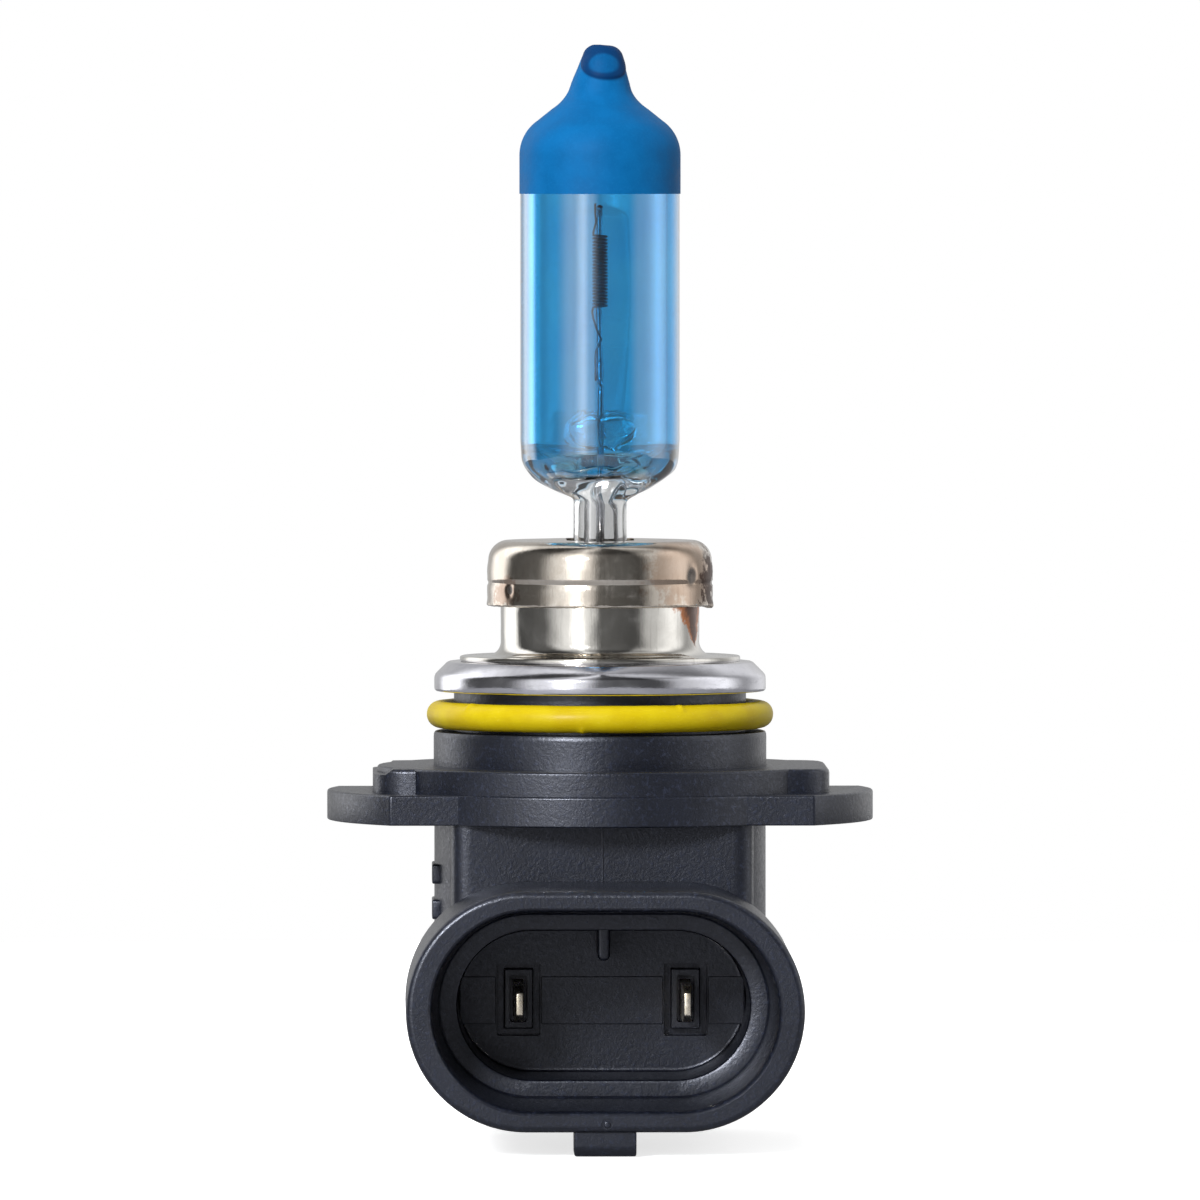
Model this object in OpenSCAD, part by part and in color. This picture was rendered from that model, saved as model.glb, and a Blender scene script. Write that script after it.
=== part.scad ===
// Right-angle halogen headlight bulb on a plastic plug-in base.
// Origin: on the bulb's axis, in the rim plane of the metal locating ring.
// +Z runs along the axis to the glass tip, and the connector opens towards -Y.

/* [Glass capsule] */
// Outer diameter of the glass tube
glass_d = 12.15; // [11.8:0.05:12.4]
// Wall of the glass tube
glass_wall = 1.0; // [0.8:0.05:1.1]
// Height of the end of the exhaust tip
tip_z = 48.7; // [48.2:0.1:49.5]
// Height at which the tube starts to close into the dome
dome_z = 40.35; // [40:0.05:40.8]
// Height at which the tube starts to close into the foot
foot_z = 18.35; // [18:0.05:18.8]
// Height of the lower edge of the blue paint
paint_edge_z = 37.4; // [36.8:0.1:38.5]
// Thickness of the paint
paint_t = 0.08; // [0.06:0.01:0.12]
// Thickness of the ribs along the pinch's edges
pinch_t = 4.35; // [4:0.05:4.6]
// Width of the pinch
pinch_w = 9.6; // [9:0.1:10]

/* [Filament and wires] */
// Height of the middle of the coil
light_centre_z = 31.5; // [31:0.1:32]
// Length of the coil
coil_len = 5.65; // [5.3:0.05:5.9]
// Outer diameter of the coil
coil_d = 1.25; // [1.1:0.05:1.4]
// Diameter of the coil's wire
coil_wire_d = 0.2; // [0.16:0.01:0.22]
// Turns of the coil
coil_turns = 18; // [16:1:20]
// Diameter of the two support wires
support_d = 0.5; // [0.4:0.05:0.6]
// Distance between the two support wires
support_gap = 5.2; // [4.8:0.1:5.6]
// Diameter of the two outer leads
lead_d = 0.6; // [0.5:0.05:0.7]

/* [Metal mount] */
// Diameter of the retainer cap's wall
cap_d = 17.3; // [17:0.1:17.6]
// Height of the cap's top face
cap_top_z = 11.05; // [10.9:0.05:11.4]
// Height of the cap's lower rim
cap_rim_z = 6; // [5.6:0.05:6.3]
// Outer diameter of the focus collar
collar_d = 15.15; // [14.9:0.05:15.3]
// Diameter of the collar's foot
collar_foot_d = 21.4; // [20:0.1:22]
// Sheet thickness of the cap and the collar
sheet_t = 0.42; // [0.35:0.01:0.5]
// Diameter of the locating ring's rim
ring_d = 25.3; // [25.1:0.05:25.5]

/* [Base] */
// Outer diameter of the sealing ring
seal_d = 26.5; // [26.3:0.05:26.7]
// Section diameter of the sealing ring
seal_t = 2.1; // [2:0.05:2.2]
// Diameter of the barrel above the flanges
barrel_d = 25.4; // [25.2:0.05:25.6]
// Diameter of the round part of both flanges
flange_d = 34.4; // [34:0.1:34.8]
// Diameter over the bayonet lugs
lug_d = 41.7; // [41:0.1:42.5]
// Height of the upper flange's top face
upper_flange_z = -6.15; // [-6.3:0.05:-6]
// Height of the lower flange's top face
lower_flange_z = -8; // [-8.2:0.05:-7.8]
// Height of the lower flange's underside
flange_foot_z = -10.25; // [-10.5:0.05:-10]
// Diameter of the body below the flanges
body_d = 25.3; // [25.2:0.05:25.4]
// Height of the body's underside
body_foot_z = -30.5; // [-30.8:0.1:-30.3]

/* [Connector] */
// Distance from the bulb's axis to the connector's mouth
mouth_y = 30; // [29:0.1:31]
// Height of the connector's centre line
conn_z = -23.5; // [-23.7:0.05:-23.3]
// Outer width of the shroud
shroud_w = 29.8; // [29.6:0.1:30.2]
// Outer height of the shroud
shroud_h = 18; // [17.8:0.1:18.2]
// Distance between the two blades
blade_gap = 12.65; // [12.45:0.05:12.85]
// Width of a blade
blade_w = 2.8; // [2.7:0.05:2.9]
// Thickness of a blade
blade_t = 0.8; // [0.7:0.05:0.85]

/* [Hidden] */
$fn = 64;
eps = 0.01;

// Glass
glass_r = glass_d / 2;
dome_r = 3.2;            // radius of the dome's shoulder
foot_r = 3.2;            // radius of the tube's lower shoulder
shoulder_turn = 55.5;    // how far round the shoulder runs before the dome turns into a cone
tip_end_r = 0.9;         // rounding of the exhaust tip's end
pinch_foot_z = 4.2;
pinch_web_t = 3.1;       // thickness of the pinch between its ribs
pinch_rib_w = 1.7;
wire_y = support_gap / 2;

// Wires
foil_t = 0.05;
foil_w = 2.0;
foil_top_z = 9.6;
foil_foot_z = 5.6;
long_top_z = 36.3;
short_top_z = 24.4;
bridge_z = 19.3;         // middle of the glass bridge
bridge_rod_d = 2.9;
bridge_rod_x = 1.05;     // half the distance between its two fused rods
bridge_len = 7.4;
coil_r = (coil_d - coil_wire_d) / 2;
coil_low_z = light_centre_z - coil_len / 2;
coil_high_z = light_centre_z + coil_len / 2;
coil_steps = 12;         // sections of wire in one turn
support_foot_z = 9.0;

// Metal mount
cap_r = cap_d / 2;
collar_r = collar_d / 2;
ring_r = ring_d / 2;
ring_top_z = 1.75;
ring_rim_top_z = 0.65;
ring_rim_foot_z = -0.5;
ring_sheet_t = 0.8;
clip_t = 0.4;

// Base
groove_r = seal_d / 2 - seal_t;
seal_z = -2.3;
groove_foot_z = seal_z - seal_t / 2 - 0.2;
core_top_z = ring_top_z - ring_sheet_t;
body_r = body_d / 2;
front_w = 22.9;          // width of the flat front of the body
front_y = -13.2;
front_round = 1.5;
lug_front_y = -13.3;
lug_inner_x = 10.5;
side_lug_w = 34.7;
side_lug_l = 19;
side_lug_round = 3.4;
rear_lug_turn = 17;      // half the angle of the rear lug
chamber_r = 9.5;
chamber_w = 17.2;        // width of the chamber's square front
chamber_front_y = -9;
neck_bore_r = 7.6;
neck_foot_z = -5;
cover_t = 1.4;
cover_r = 10.6;
cover_lip_h = 0.8;
potting_top_z = -20.5;

// Connector
mouth_w = 25.8;
mouth_h = 14.8;
mouth_draft = 0.45;      // how far each wall of the mouth closes in by the ledge
ledge_depth = 9.6;
deep_w = 22;
deep_h = 11.2;
floor_y = -11;
shroud_back_y = -10.7;
blade_x = blade_gap / 2;
blade_tip_y = -19;
blade_leg_y = -6.2;
blade_leg_w = 2.4;
blade_leg_top_z = -15.2;
blade_point = 0.9;       // length of the chamfers at a blade's tip
key_w = 0.9;
key_h = 2.2;
latch_w = 4.65;
latch_h = 1.85;
latch_len = 7;
carrier_w = 2.25;
carrier_h = 4.6;
recess_w = 3.25;
recess_h = 5.5;
recess_depth = 1.2;
slot_w = 1.45;
slot_h = 3.65;
slot_depth = 1.6;
carrier_front_y = floor_y + 0.3;
carrier_back_y = -7.6;
carrier_flange_t = 1;

// Points of an arc round [x, y], from angle a0 to a1
function arc(x, y, r, a0, a1, n = 8) =
    [for (i = [0:n]) let (a = a0 + (a1 - a0) * i / n) [x + r * cos(a), y + r * sin(a)]];

// Points of a curve from p to r that leaves both ends towards q
function bend(p, q, r, n = 6) =
    [for (i = [0:n]) let (t = i / n) (1 - t) * (1 - t) * p + 2 * t * (1 - t) * q + t * t * r];

// Half outline of the dome and the exhaust tip, grown outwards by grow
function dome_outline(grow) =
    let (r = glass_r + grow,
         cone = [r - dome_r * (1 - cos(shoulder_turn)), dome_z + dome_r * sin(shoulder_turn)])
    concat(
        arc(r - dome_r, dome_z, dome_r, 0, shoulder_turn),
        bend([cone[0] - 1.45, cone[1] + 1.0], [2.55 + grow, 44.6 + grow], [2.22 + grow, 45.6]),
        arc(0.47, tip_z - 0.98 + grow, tip_end_r + grow, 10, 80, 4),
        [[0, tip_z + grow - paint_t]]);

// Tube, dome and foot of the glass, outside
module glass_outline() {
    neck_r = 2.2;
    polygon(concat(
        [[0, foot_z - foot_r], [neck_r, foot_z - foot_r]],
        arc(glass_r - foot_r, foot_z, foot_r, -90, 0),
        dome_outline(0)));
}

// Space inside the glass
module glass_space_outline() {
    r = glass_r - glass_wall;
    low_r = foot_r - 0.5;
    top_r = 3.4;
    polygon(concat(
        [[0, foot_z + 0.35 - low_r]],
        arc(r - low_r, foot_z + 0.35, low_r, -90, 0),
        arc(r - top_r, dome_z - 0.5, top_r, 0, 90),
        [[0, dome_z - 0.5 + top_r]]));
}

// Flat seal at the foot of the glass, seen from above
module pinch_outline() {
    square([pinch_web_t, pinch_w - 1], center = true);
    for (side = [-1, 1]) {
        translate([0, side * (pinch_w - pinch_rib_w) / 2]) {
            square([pinch_t - pinch_rib_w, pinch_rib_w], center = true);
            for (end = [-1, 1])
                translate([end * (pinch_t - pinch_rib_w) / 2, 0]) circle(d = pinch_rib_w);
        }
    }
}

function unit(v) = v / norm(v);

// Path through a list of points, with each corner rounded over the length given
function rounded_path(points, length) =
    let (last = len(points) - 1)
    concat([points[0]],
        [for (i = [1:last - 1])
            let (back = min(length, norm(points[i - 1] - points[i]) / 2.1),
                 ahead = min(length, norm(points[i + 1] - points[i]) / 2.1))
            each bend(points[i] + back * unit(points[i - 1] - points[i]), points[i],
                points[i] + ahead * unit(points[i + 1] - points[i]), 4)],
        [points[last]]);

// Direction of a path at point i
function heading(path, i) = unit(path[min(i + 1, len(path) - 1)] - path[max(i - 1, 0)]);

// The part of v that is square to a heading
function squared(v, ahead) = unit(v - (v * ahead) * ahead);

// Round wire swept along a path, as one closed solid that doesn't twist
module swept_wire(path, d, sides = 8) {
    last = len(path) - 1;
    across = [for (i = 0, v = squared([0.3, 1, 0.1], heading(path, 0)); i <= last;
        i = i + 1, v = squared(v, heading(path, min(i, last)))) v];
    rings = [for (i = [0:last])
        let (up = cross(across[i], heading(path, i)))
        for (k = [0:sides - 1])
            path[i] + d / 2 * (cos(k * 360 / sides) * across[i] - sin(k * 360 / sides) * up)];
    walls = [for (i = [0:last - 1], k = [0:sides - 1])
        [i * sides + k, i * sides + (k + 1) % sides,
         (i + 1) * sides + (k + 1) % sides, (i + 1) * sides + k]];
    ends = [[for (k = [sides - 1:-1:0]) k], [for (k = [0:sides - 1]) last * sides + k]];
    polyhedron(rings, concat(walls, ends), convexity = 10);
}

// Prism across X: an outline drawn in Y and Z, as wide as w
module across_x(w) {
    translate([-w / 2, 0, 0]) rotate([90, 0, 90]) linear_extrude(w) children();
}

// Prism along Y: an outline drawn in X and Z, from y0 back to y1
module along_y(y0, y1) {
    translate([0, y1, 0]) rotate([90, 0, 0]) linear_extrude(y1 - y0) children();
}

// Outline with a flat top and bottom and round ends, about the connector's centre
module stadium(w, h) {
    square([w - h, h], center = true);
    for (side = [-1, 1]) translate([side * (w - h) / 2, 0]) circle(d = h, $fn = 96);
}

// Supports, foils and leads lie in the pinch, one set in front and one behind
long_points = [[0, wire_y, support_foot_z], [0, wire_y, long_top_z], [0, 0.05, long_top_z]];
short_points = [[0, -wire_y, support_foot_z], [0, -wire_y, short_top_z - 1.6],
    [0, 0, short_top_z - 1.6], [0, 0, short_top_z]];

// An outer lead drops straight from the pinch, then crosses over to the inner face of its terminal
function lead_points(side) =
    let (end_x = side * (blade_x - blade_t / 2 - lead_d / 2))
    [[0, side * wire_y, foil_foot_z + 0.6], [0, side * wire_y, -11.2],
     [end_x, -7.3, -15.4], [end_x, -7.3, -19.4]];

// Centre line of the coil's wire, from 0 at its foot to 1 at its top
function coil_point(t) =
    let (turn = 180 + t * coil_turns * 360)
    [coil_r * cos(turn), coil_r * sin(turn), coil_low_z + coil_wire_d / 2 + t * (coil_len - coil_wire_d)];

// The coil with a kinked leg at each end, laid along the side of the supports' hooks
leg_x = -(support_d + coil_wire_d) / 2 - 0.01;
coil_points = coil_turns * coil_steps;
coil_path = concat(
    [[leg_x, 0, short_top_z - 1.2], [leg_x, 0.05, short_top_z + 0.4], [-0.1, 0.25, short_top_z + 1.8]],
    bend([-0.25, 0.35, coil_low_z - 0.9], [-coil_r, 0.5, coil_low_z - 0.05], coil_point(0), 4),
    [for (i = [1:coil_points - 1]) coil_point(i / coil_points)],
    bend(coil_point(1), [-coil_r, -0.5, coil_high_z + 0.05], [-0.3, -0.1, coil_high_z + 0.9], 4),
    [[leg_x, 0.2, long_top_z - 0.4], [leg_x, 0.3, long_top_z + 0.3]]);

module glass_envelope() {
    color([0.55, 0.78, 0.95, 0.45])
        difference() {
            union() {
                rotate_extrude($fn = 96) glass_outline();
                translate([0, 0, pinch_foot_z])
                    linear_extrude(foot_z - foot_r + 0.4 - pinch_foot_z) pinch_outline();
            }
            rotate_extrude($fn = 96) glass_space_outline();
            for (side = [-1, 1]) {
                translate([-foil_t / 2, side * wire_y - foil_w / 2, foil_foot_z])
                    cube([foil_t, foil_w, foil_top_z - foil_foot_z]);
                translate([0, side * wire_y, support_foot_z])
                    cylinder(h = 8, d = support_d, $fn = 24);
                translate([0, side * wire_y, pinch_foot_z - 1])
                    cylinder(h = foil_foot_z + 1.6 - pinch_foot_z, d = lead_d, $fn = 24);
            }
        }
}

module tip_coating() {
    color([0.13, 0.42, 0.74])
        rotate_extrude($fn = 96)
            difference() {
                polygon(concat([[0, paint_edge_z], [glass_r + paint_t, paint_edge_z]],
                    dome_outline(paint_t)));
                polygon(concat([[-1, paint_edge_z - 1], [glass_r, paint_edge_z - 1]],
                    dome_outline(0), [[-1, tip_z - paint_t]]));
            }
}

module filament() {
    color([0.35, 0.35, 0.38]) swept_wire(coil_path, coil_wire_d, 6);
}

module long_support_wire() {
    color([0.6, 0.6, 0.62]) swept_wire(rounded_path(long_points, 0.9), support_d);
}

module short_support_wire() {
    color([0.6, 0.6, 0.62]) swept_wire(rounded_path(short_points, 0.8), support_d);
}

module glass_bridge() {
    color([0.8, 0.88, 0.95, 0.6])
        difference() {
            along_y(-bridge_len / 2, bridge_len / 2)
                translate([0, bridge_z]) {
                    for (side = [-1, 1]) translate([side * bridge_rod_x, 0]) circle(d = bridge_rod_d);
                    square([2 * bridge_rod_x, bridge_rod_d * 0.8], center = true);
                }
            for (side = [-1, 1])
                translate([0, side * wire_y, bridge_z - 3]) cylinder(h = 6, d = support_d, $fn = 24);
        }
}

module seal_foil(side) {
    color([0.7, 0.7, 0.72])
        difference() {
            translate([-foil_t / 2, side * wire_y - foil_w / 2, foil_foot_z])
                cube([foil_t, foil_w, foil_top_z - foil_foot_z]);
            translate([0, side * wire_y, support_foot_z]) cylinder(h = 1, d = support_d, $fn = 24);
            translate([0, side * wire_y, foil_foot_z - 0.4]) cylinder(h = 1, d = lead_d, $fn = 24);
        }
}

module outer_lead(side) {
    color([0.75, 0.72, 0.66]) swept_wire(rounded_path(lead_points(side), 2), lead_d);
}

module lead_sleeve(side) {
    color([0.86, 0.84, 0.78])
        translate([0, side * wire_y, -9])
            difference() {
                cylinder(h = 11.5, d = 1.5, $fn = 32);
                translate([0, 0, -1]) cylinder(h = 14, d = lead_d + 0.04, $fn = 32);
            }
}

module pinch_clip() {
    plate_r = cap_r - 1.8;
    plate_z = cap_top_z - sheet_t - clip_t;
    leaf_w = 6;
    leaf_foot_z = 5.4;
    color([0.72, 0.7, 0.66])
        difference() {
            union() {
                translate([0, 0, plate_z]) cylinder(h = clip_t, r = plate_r);
                for (side = [-1, 1])
                    translate([side * (pinch_web_t + clip_t) / 2 - clip_t / 2, -leaf_w / 2, leaf_foot_z])
                        cube([clip_t, leaf_w, plate_z + eps - leaf_foot_z]);
            }
            translate([0, 0, plate_z - 1]) linear_extrude(3) {
                square([pinch_web_t, pinch_w + 0.6], center = true);
                for (side = [-1, 1])
                    translate([0, side * (pinch_w / 2 - 0.6)])
                        square([pinch_t + 0.4, pinch_rib_w + 0.6], center = true);
            }
        }
}

// Drawn cap: crowned top, straight wall and a lower rim that is folded back inside
module retainer_cap() {
    corner = 1.35;
    wall_r = cap_r - 0.12;
    inner_corner = corner - sheet_t;
    hem_r = collar_r + 0.03;
    color([0.74, 0.71, 0.65])
        difference() {
            rotate_extrude($fn = 128)
                polygon(concat(
                    [[0, cap_top_z]],
                    arc(wall_r - corner, cap_top_z - corner, corner, 90, 0),
                    [[cap_r, cap_rim_z + 1.75], [wall_r - 0.02, cap_rim_z + 1.55], [cap_r, cap_rim_z + 0.25],
                     [cap_r - 0.2, cap_rim_z], [hem_r, cap_rim_z], [hem_r, cap_rim_z + 2.6],
                     [hem_r + 0.35, cap_rim_z + 2.6], [hem_r + 0.35, cap_rim_z + sheet_t],
                     [wall_r - sheet_t - 0.02, cap_rim_z + sheet_t]],
                    arc(wall_r - corner, cap_top_z - corner, inner_corner, 0, 90),
                    [[0, cap_top_z - sheet_t]]));
            translate([0, 0, cap_top_z - 1.2]) linear_extrude(2)
                union() {
                    square([pinch_t + 0.8, pinch_w - 3.6], center = true);
                    for (side = [-1, 1])
                        translate([0, side * (pinch_w - 3.6) / 2]) circle(d = pinch_t + 0.8);
                }
        }
}

// Sleeve that the cap is set on, with a flared foot
module focus_collar() {
    flare = 1.1;
    foot_z = ring_top_z;
    inner_r = collar_r - sheet_t;
    color([0.8, 0.78, 0.74])
        rotate_extrude($fn = 128)
            polygon(concat(
                [[inner_r, cap_rim_z + 3.6], [inner_r, foot_z + sheet_t + flare]],
                arc(inner_r + flare + sheet_t, foot_z + sheet_t + flare, flare + sheet_t, 180, 270),
                [[collar_foot_d / 2, foot_z], [collar_foot_d / 2, foot_z + sheet_t]],
                arc(collar_r + flare, foot_z + sheet_t + flare, flare, 270, 180),
                [[collar_r, cap_rim_z + 3.6]]));
}

// Drawn ring: flat seat for the collar, sloping shoulder and a straight rim that centres the bulb
module locating_ring() {
    seat_r = ring_r - 1.05;
    color([0.82, 0.82, 0.84])
        rotate_extrude($fn = 128)
            polygon([[8.2, ring_top_z], [seat_r, ring_top_z], [ring_r, ring_rim_top_z],
                [ring_r, ring_rim_foot_z], [ring_r - ring_sheet_t, ring_rim_foot_z],
                [ring_r - ring_sheet_t, ring_rim_top_z - 0.35], [seat_r - 0.4, core_top_z],
                [8.2, core_top_z]]);
}

module sealing_ring() {
    color([0.92, 0.8, 0.1])
        translate([0, 0, seal_z])
            rotate_extrude($fn = 128) translate([(seal_d - seal_t) / 2, 0]) circle(d = seal_t, $fn = 48);
}

// Seen from above: the round of the lower flange with its three lugs
module lower_flange_outline() {
    circle(d = flange_d, $fn = 128);
    intersection() {
        circle(d = lug_d, $fn = 128);
        union() {
            for (side = [-1, 1])
                translate([side * (lug_inner_x + 10), lug_front_y + 9.5]) square([20, 19], center = true);
            polygon([[0, 0], [30 * sin(rear_lug_turn), 30 * cos(rear_lug_turn)],
                [-30 * sin(rear_lug_turn), 30 * cos(rear_lug_turn)]]);
        }
    }
}

// Seen from above: the upper flange, round in front and with a rounded block on each side
module upper_flange_outline() {
    circle(d = flange_d - 0.4, $fn = 128);
    inset = side_lug_w / 2 - side_lug_round;
    square([2 * inset, side_lug_l], center = true);
    square([side_lug_w, side_lug_l - 2 * side_lug_round], center = true);
    for (sx = [-1, 1], sy = [-1, 1])
        translate([sx * inset, sy * (side_lug_l / 2 - side_lug_round)]) circle(r = side_lug_round);
}

// Seen from above: the body, round with a flat front that has rounded corners
module body_outline() {
    circle(d = body_d, $fn = 128);
    translate([0, front_y / 2 + front_round / 2])
        square([front_w, -front_y - front_round], center = true);
    translate([0, front_y / 2]) square([front_w - 2 * front_round, -front_y], center = true);
    for (side = [-1, 1])
        translate([side * (front_w / 2 - front_round), front_y + front_round])
            circle(r = front_round, $fn = 48);
}

// Seen from above: the chamber in the base, round behind and square in front
module chamber_outline(inset = 0) {
    intersection() {
        circle(r = chamber_r - inset, $fn = 96);
        translate([0, 20 + chamber_front_y + inset]) square(40, center = true);
    }
    translate([0, (chamber_front_y + inset) / 2])
        square([chamber_w - 2 * inset, -chamber_front_y - inset], center = true);
}

// Barrel with the sealing ring's groove under the locating ring
module barrel() {
    barrel_r = barrel_d / 2;
    rotate_extrude($fn = 128)
        polygon([[0, core_top_z], [groove_r, core_top_z], [groove_r, groove_foot_z],
            [barrel_r, groove_foot_z], [barrel_r, flange_foot_z], [0, flange_foot_z]]);
}

// Mouth of the connector: its walls close in a little towards the ledge
module mouth_space() {
    gap = mouth_w - mouth_h;
    deep_half = mouth_h / 2 - mouth_draft;
    ledge_y = -mouth_y + ledge_depth;
    over = 0.5;
    grow = mouth_draft * over / ledge_depth;
    translate([0, 0, conn_z]) {
        for (side = [-1, 1])
            translate([side * gap / 2, -mouth_y - over, 0])
                rotate([-90, 0, 0])
                    cylinder(h = ledge_depth + over, r1 = mouth_h / 2 + grow, r2 = deep_half, $fn = 96);
        across_x(gap)
            polygon([[-mouth_y - over, mouth_h / 2 + grow], [ledge_y, deep_half],
                [ledge_y, -deep_half], [-mouth_y - over, -mouth_h / 2 - grow]]);
    }
}

// Space behind the ledge, with the key that hangs from its roof left standing
module deep_space() {
    difference() {
        along_y(-mouth_y + ledge_depth - eps, floor_y) translate([0, conn_z]) stadium(deep_w, deep_h);
        along_y(-mouth_y + ledge_depth - 1, floor_y + 1)
            translate([0, conn_z + deep_h / 2 - key_h + key_w / 2]) {
                circle(d = key_w, $fn = 32);
                translate([-key_w / 2, 0]) square([key_w, key_h]);
            }
    }
}

// Raised strip across the connector's floor
module floor_strip() {
    intersection() {
        along_y(floor_y - 0.15, floor_y + eps)
            translate([-deep_w / 2, conn_z - 1.45]) square([deep_w, 3.45]);
        along_y(floor_y - 0.3, floor_y + 0.3) translate([0, conn_z]) stadium(deep_w, deep_h);
    }
}

// Catch under the shroud that the plug's latch snaps over
module latch_catch() {
    top = conn_z - shroud_h / 2 + 0.3;
    low = conn_z - shroud_h / 2 - latch_h;
    front = -mouth_y + 0.5;
    across_x(latch_w)
        polygon([[front, top], [front, low + 0.7], [front + 0.9, low], [front + latch_len - 1, low],
            [front + latch_len, top]]);
}

// Plain raised pads low on the left side of the body
module side_pads() {
    for (z = [-14.4, -17.1])
        translate([-body_r - 0.18, -3, z - 0.75]) cube([0.6, 6, 1.5]);
}

module base_housing() {
    color([0.2, 0.21, 0.25])
        difference() {
            union() {
                barrel();
                translate([0, 0, lower_flange_z]) linear_extrude(upper_flange_z - lower_flange_z)
                    upper_flange_outline();
                translate([0, 0, flange_foot_z]) linear_extrude(lower_flange_z - flange_foot_z)
                    lower_flange_outline();
                translate([0, 0, body_foot_z]) linear_extrude(flange_foot_z - body_foot_z) body_outline();
                along_y(-mouth_y, shroud_back_y) translate([0, conn_z]) stadium(shroud_w, shroud_h);
                latch_catch();
                side_pads();
                translate([-0.06, front_y - 0.07, conn_z]) cube([0.12, 0.2, flange_foot_z - conn_z]);
            }
            difference() {
                union() {
                    mouth_space();
                    deep_space();
                }
                floor_strip();
            }
            translate([0, 0, neck_foot_z - 1]) cylinder(h = 10, r = neck_bore_r);
            translate([0, 0, body_foot_z + cover_t])
                linear_extrude(neck_foot_z - body_foot_z - cover_t) chamber_outline();
            translate([0, 0, body_foot_z - 1]) cylinder(h = cover_t + 1, r = cover_r);
            for (side = [-1, 1]) translate([side * blade_x, 0, conn_z]) {
                translate([-recess_w / 2, floor_y - 1, -recess_h / 2])
                    cube([recess_w, recess_depth + 1, recess_h]);
                translate([-carrier_w / 2, floor_y - 1, -carrier_h / 2])
                    cube([carrier_w, 5, carrier_h]);
            }
        }
}

module base_cover() {
    color([0.22, 0.23, 0.27])
        translate([0, 0, body_foot_z]) {
            cylinder(h = cover_t, r = cover_r);
            translate([0, 0, cover_t]) linear_extrude(cover_lip_h)
                difference() {
                    chamber_outline(0.1);
                    chamber_outline(1.1);
                }
        }
}

// Flat L: the blade lies along Y and its leg stands up inside the base
module terminal_solid(side) {
    half = blade_w / 2;
    translate([side * blade_x, 0, 0])
        intersection() {
            across_x(blade_t)
                polygon([[blade_tip_y, conn_z - half + 0.5], [blade_tip_y + blade_point, conn_z - half],
                    [blade_leg_y, conn_z - half], [blade_leg_y, blade_leg_top_z],
                    [blade_leg_y - blade_leg_w, blade_leg_top_z], [blade_leg_y - blade_leg_w, conn_z + half],
                    [blade_tip_y + blade_point, conn_z + half], [blade_tip_y, conn_z + half - 0.5]]);
            translate([0, 0, -40]) linear_extrude(40)
                polygon([[-0.16, blade_tip_y], [0.16, blade_tip_y], [blade_t / 2, blade_tip_y + blade_point],
                    [blade_t / 2, 0], [-blade_t / 2, 0], [-blade_t / 2, blade_tip_y + blade_point]]);
        }
}

module terminal(side) {
    color([0.85, 0.78, 0.62]) terminal_solid(side);
}

// Moulded block that holds a blade in the connector's floor, with a collar inside the base
module carrier_solid(side) {
    translate([side * blade_x, 0, conn_z])
        difference() {
            union() {
                translate([-carrier_w / 2, carrier_front_y, -carrier_h / 2])
                    cube([carrier_w, carrier_back_y - carrier_front_y, carrier_h]);
                translate([-carrier_w / 2 - 0.8, chamber_front_y, -carrier_h / 2 - 0.6])
                    cube([carrier_w + 1.6, carrier_flange_t, carrier_h + 1.2]);
            }
            translate([-slot_w / 2, carrier_front_y - 1, -slot_h / 2])
                cube([slot_w, slot_depth + 1, slot_h]);
            translate([-blade_t / 2, -20, -blade_w / 2]) cube([blade_t, 20, blade_w]);
            translate([-blade_t / 2, blade_leg_y - blade_leg_w, 0]) cube([blade_t, 5, 10]);
        }
}

module terminal_carrier(side) {
    color([0.17, 0.18, 0.21]) carrier_solid(side);
}

module potting_compound() {
    foot = body_foot_z + cover_t + cover_lip_h;
    color([0.3, 0.26, 0.22])
        difference() {
            translate([0, 0, foot]) linear_extrude(potting_top_z - foot) chamber_outline();
            for (side = [-1, 1]) {
                terminal_solid(side);
                carrier_solid(side);
            }
        }
}

glass_envelope();
tip_coating();
filament();
long_support_wire();
short_support_wire();
glass_bridge();
seal_foil(-1);  // front_seal_foil
seal_foil(1);  // rear_seal_foil
outer_lead(-1);  // front_outer_lead
outer_lead(1);  // rear_outer_lead
lead_sleeve(-1);  // front_lead_sleeve
lead_sleeve(1);  // rear_lead_sleeve
pinch_clip();
retainer_cap();
focus_collar();
locating_ring();
sealing_ring();
base_housing();
base_cover();
terminal(-1);  // left_terminal
terminal(1);  // right_terminal
terminal_carrier(-1);  // left_terminal_carrier
terminal_carrier(1);  // right_terminal_carrier
potting_compound();
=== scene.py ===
"""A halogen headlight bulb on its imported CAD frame, in a plain pale studio. Lengths are in millimetres."""
import math

import bmesh
import bpy
from mathutils import Matrix, Vector, noise


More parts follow.
